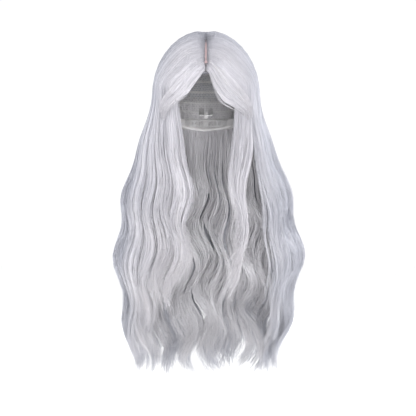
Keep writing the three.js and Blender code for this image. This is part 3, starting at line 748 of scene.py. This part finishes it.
def make_skin_material():
    """Skin-toned silicone of the parting: blotches, fine pores and dark spots where hair is knotted."""
    n = Nodes("parting_skin", 0.5)
    place = n.place()
    blotch = n.add("ShaderNodeTexNoise", Vector=place, Scale=90.0, Detail=4.0).outputs[0]
    pores = n.add("ShaderNodeTexVoronoi", Vector=place, Scale=900.0).outputs["Distance"]
    knots = n.add("ShaderNodeTexVoronoi", Vector=place, Scale=700.0, Randomness=0.6).outputs["Distance"]
    spots = n.add("ShaderNodeMapRange", Value=knots, _1=0.12, _2=0.3, _3=0.0, _4=1.0).outputs[0]
    skin = n.ramp(blotch, (0.3, (0.44, 0.31, 0.32)), (0.7, (0.54, 0.41, 0.42)))
    spotted = n.add("ShaderNodeMix", {"data_type": "RGBA"}, _0=spots, _6=(0.34, 0.26, 0.29, 1), _7=skin)
    n.color(spotted.outputs[2])
    n.bump(pores, 0.0001, 0.6)
    return n.material


def make_plastic_material():
    """Moulded plastic: faint flow marks, a fine texture and small differences in gloss."""
    n = Nodes("moulded_plastic", 0.35)
    place = n.place()
    flow_marks = n.add("ShaderNodeTexNoise", Vector=place, Scale=150.0, Detail=3.0).outputs[0]
    n.color(n.ramp(flow_marks, (0.3, (0.60, 0.60, 0.61)), (0.7, (0.69, 0.69, 0.70))))
    grain = n.add("ShaderNodeTexNoise", Vector=place, Scale=2500.0).outputs[0]
    gloss = n.add("ShaderNodeMapRange", Value=flow_marks, _3=0.28, _4=0.45).outputs[0]
    n.tree.links.new(gloss, n.shader.inputs["Roughness"])
    n.bump(grain, 0.00003)
    return n.material


def make_steel_material():
    """Plated spring steel: drawn lines along the wire, slight tarnish and scuffed patches."""
    n = Nodes("plated_steel", 0.3, Metallic=1.0)
    place = n.place()
    drawn = n.add("ShaderNodeMapping", _0=place, Scale=(80, 3000, 3000)).outputs[0]
    lines = n.add("ShaderNodeTexNoise", Vector=drawn, Scale=1.0, Detail=2.0).outputs[0]
    tarnish = n.add("ShaderNodeTexNoise", Vector=place, Scale=220.0, Detail=4.0).outputs[0]
    n.color(n.ramp(tarnish, (0.3, (0.46, 0.455, 0.46)), (0.7, (0.60, 0.60, 0.61))))
    scuffed = n.add("ShaderNodeMapRange", Value=tarnish, _3=0.3, _4=0.55).outputs[0]
    n.tree.links.new(scuffed, n.shader.inputs["Roughness"])
    n.bump(lines, 0.00002)
    return n.material


skin_material = make_skin_material()
plastic_material = make_plastic_material()
steel_material = make_steel_material()


def on_net(azimuth, level):
    return level > net_edge(azimuth) + EDGE


def on_lace(azimuth, level):
    edge = net_edge(azimuth)
    return (np.abs(azimuth) < LACE_ENDS) & (level < edge + EDGE) & (level > edge - LACE_DROP)


def round_the_back(start, count):
    """Azimuths from start on the left, round the back, to the same on the right."""
    around = np.linspace(start, 360 - start, count)
    return np.where(around > 180, around - 360, around)


on_cap(net_mesh("net_cap", divisions=6, offset=0.6, radius=0.4, keep=on_net), net_material, "cap_net")
on_cap(net_mesh("lace_mesh", divisions=7, offset=0.6, radius=0.12, keep=on_lace), lace_material, "lace_front")

behind = round_the_back(LACE_ENDS - 1, 180)
tape("edge_binding", behind, net_edge(behind) + 3.0, offset=0.55, half_height=3.2, half_thick=0.85,
     material=tape_material)
brow = np.linspace(-LACE_ENDS, LACE_ENDS, 90)
tape("lace_ribbon", brow, net_edge(brow) + 1.0, offset=0.6, half_height=1.6, half_thick=0.5,
     material=lace_material)


def edge_stitches(name, azimuth, low, high, offset, radius):
    """A zigzag of thread between two levels, along azimuths."""
    zig = np.where(np.arange(len(azimuth)) % 2, low, high)
    point, out = on_scalp(azimuth, zig, offset)
    stitches(name, point[:-1], point[1:], out[:-1], radius, net_material)


zigzag = round_the_back(LACE_ENDS - 1, 321)
edge_stitches("binding_zigzag", zigzag, net_edge(zigzag) + 1.6, net_edge(zigzag) + 4.4, offset=-0.35,
              radius=0.16)

# Each weft is three cords bound together by stitches over them: its level and the azimuth of its ends.
WEFT_ROWS = [(-150, 119), (-133, 114), (-116, 108), (-94, 92), (-74, 84), (-54, 84)]
WEFT_OFFSET = 2.3
CORD_RISES = (0.7, 2.0, 3.3)  # how far above the row's level each cord runs
CORD_RADIUS = 0.62
CORD_POINTS, STITCH_COUNT = 150, 300
WEFT_FACES = {"inner": WEFT_OFFSET - 0.75, "outer": WEFT_OFFSET + 0.6}
for row, (level, start) in enumerate(WEFT_ROWS, 1):
    around = round_the_back(start, CORD_POINTS)
    cords = [on_scalp(around, np.full(CORD_POINTS, level + rise), WEFT_OFFSET) for rise in CORD_RISES]
    point, out = (np.stack(parts) for parts in zip(*cords))
    twist = np.arange(CORD_POINTS) * 1.1
    cord = thread_mesh(f"weft_cords_{row}", point, out, CORD_RADIUS, ROUND, twist)
    on_cap(cord, weft_material, f"weft_row_{row}")
    around = round_the_back(start, STITCH_COUNT)
    lean = np.tile([0.5, -0.5], STITCH_COUNT // 2)
    for face, offset in WEFT_FACES.items():
        low, out = on_scalp(around, np.full(STITCH_COUNT, level + 0.1), offset)
        high, _ = on_scalp(around + lean, np.full(STITCH_COUNT, level + 3.9), offset)
        stitches(f"weft_stitches_{face}_{row}", low, high, out, 0.2, net_material)

nape = round_the_back(123, 90)
NAPE_BAND_SEAMS = {"low": (-166.8, -164.6), "high": (-161.6, -159.6)}
for place, (low, high) in NAPE_BAND_SEAMS.items():
    edge_stitches(f"nape_band_zigzag_{place}", nape, low, high, offset=3.25, radius=0.18)

# Seams of the ear tabs, of the adjusters' casings and of the ladder of loops.
TAB_AZIMUTH, TAB_TOP, TAB_BOTTOM = 74.0, -105.5, -134.5
TAB_SEAM = {"half_width": 7.6, "points": 24, "offset": -0.05}
NAPE_RADIUS, NAPE_SLOPE, NAPE_LEVEL, NAPE_Y = 62.4, 0.34, -155.0, 26.0
CASING_SEAM = {"turns": (47, 74), "points": 28, "inset": 5.45}
CASING_LEVELS = {"low": -160.9, "high": -149.1}
BAR_TURNS = np.arange(4.0, 35.0, 6.0)  # the six bars of one half of the ladder
BAR_LEVELS, BAR_INSET = (-159.5, -150.5), 2.5
SEAM_RADIUS, TACK_RADIUS = 0.2, 0.18


def on_nape(side, turn, level, inset):
    """Points on the cone that the adjusters run on, and the directions into the cap there."""
    around = np.radians(turn)
    radius = NAPE_RADIUS + NAPE_SLOPE * (level - NAPE_LEVEL) - inset
    inward = vectors(-side * np.sin(around), -np.cos(around), 0 * around)
    return vectors(side * radius * np.sin(around), NAPE_Y + radius * np.cos(around), level), inward


for name, side in SIDES.items():
    level = np.linspace(TAB_TOP, TAB_BOTTOM, TAB_SEAM["points"])
    narrower = TAB_SEAM["half_width"] * mix(1.0, 0.5, np.linspace(0, 1, TAB_SEAM["points"]) ** 1.6)
    for edge in (-1, 1):
        azimuth = side * (TAB_AZIMUTH + edge * narrower)
        point, out = on_scalp(azimuth, level, TAB_SEAM["offset"])
        stitches(f"ear_tab_seam_{name}_{'front' if edge < 0 else 'back'}", point[:-1:2], point[1::2],
                 -out[:-1:2], SEAM_RADIUS, net_material)
    turn = np.linspace(*CASING_SEAM["turns"], CASING_SEAM["points"])
    for place, level in CASING_LEVELS.items():
        point, inward = on_nape(side, turn, np.full(len(turn), level), CASING_SEAM["inset"])
        stitches(f"casing_seam_{name}_{place}", point[:-1:2], point[1::2], inward[:-1:2], SEAM_RADIUS,
                 net_material)
    bars = np.repeat(BAR_TURNS, 3) + np.tile([-0.5, 0, 0.5], len(BAR_TURNS))
    (low, inward), (high, _) = (
        on_nape(side, bars, np.full(len(bars), level), BAR_INSET) for level in BAR_LEVELS
    )
    stitches(f"loop_bar_tacks_{name}", low, high, inward, TACK_RADIUS, net_material)

# Finishes of the CAD pieces that keep their own shape.
FINISHES = {
    "parting_patch": skin_material, "nape_band": elastic_material, "loop_ladder": elastic_material,
    "comb_left": steel_material, "comb_right": steel_material, "comb_nape": steel_material,
    "comb_tab_left": tape_material, "comb_tab_right": tape_material, "comb_tab_nape": tape_material,
}
for name in SIDES:
    FINISHES[f"ear_tab_{name}"] = tape_material
    FINISHES[f"ear_stay_{name}"] = plastic_material
    FINISHES[f"strap_casing_{name}"] = tape_material
    FINISHES[f"adjuster_strap_{name}"] = elastic_material
    FINISHES[f"adjuster_hook_{name}"] = plastic_material
for node, material in FINISHES.items():
    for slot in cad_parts[node].material_slots:
        slot.material = material


# ---- Stage, light and camera ------------------------------------------------------------------------
def aim(data, power, place, target):
    data.energy = power
    light = bpy.data.objects.new(data.name, data)
    light.location = place
    light.rotation_euler = (Vector(target) - Vector(place)).to_track_quat("-Z", "Y").to_euler()
    scene.collection.objects.link(light)


def add_light(name, place, target, size, power):
    data = bpy.data.lights.new(name, "AREA")
    data.size = size
    aim(data, power, place, target)


def add_snoot(name, place, target, degrees, power):
    """A narrow soft beam, aimed into the cap from below the fringe."""
    data = bpy.data.lights.new(name, "SPOT")
    data.spot_size = math.radians(degrees)
    data.spot_blend = 1.0
    data.shadow_soft_size = 0.12
    aim(data, power, place, target)


FLOOR = -0.74
FRAMING = {"place": (0.0038, -2.08, -0.322), "lens": 94.8}
BRIGHTNESS = 1.04  # of the white surroundings
CENTRE = (0, 0, -0.3)
# Place, target, size in metres and power in watts.
AREA_LIGHTS = {
    "key": ((-0.7, -2.1, -0.25), CENTRE, 1.2, 2),
    "low_fill": ((0.3, -1.9, -0.66), (0, 0, -0.52), 1.0, 31),
    "back": ((0.6, 2.2, 0.1), CENTRE, 1.4, 18),
    "side_left": ((2.2, 0.5, -0.1), CENTRE, 1.2, 5),
    "side_right": ((-2.2, 0.5, -0.1), CENTRE, 1.2, 5),
}


def make_stage():
    n = Nodes("studio_white", 0.9)
    grain = n.add("ShaderNodeTexNoise", Vector=n.place(), Scale=3.0).outputs[0]
    n.color(n.ramp(grain, (0.3, (0.96, 0.96, 0.965)), (0.7, (0.98, 0.98, 0.98))))
    bpy.ops.mesh.primitive_circle_add(vertices=96, radius=6, fill_type="NGON", location=(0, 0, FLOOR))
    floor = bpy.context.object
    floor.name = "floor"
    floor.data.materials.append(n.material)


def make_world():
    world = bpy.data.worlds.new("studio")
    world.use_nodes = True
    background = world.node_tree.nodes["Background"]
    background.inputs["Color"].default_value = (1, 1, 1, 1)
    background.inputs["Strength"].default_value = BRIGHTNESS
    scene.world = world


make_stage()
make_world()
for name, (place, target, size, power) in AREA_LIGHTS.items():
    add_light(name, place, target, size, power)
add_snoot("inside", (0, -1.5, -0.55), (0, 0.09, -0.1), degrees=9, power=30)

scene.view_settings.view_transform = "Standard"
lens = bpy.data.cameras.new("camera")
lens.lens = FRAMING["lens"]
camera = bpy.data.objects.new("camera", lens)
camera.location = FRAMING["place"]
camera.rotation_euler = (math.radians(90), 0, 0)
scene.collection.objects.link(camera)
scene.camera = camera
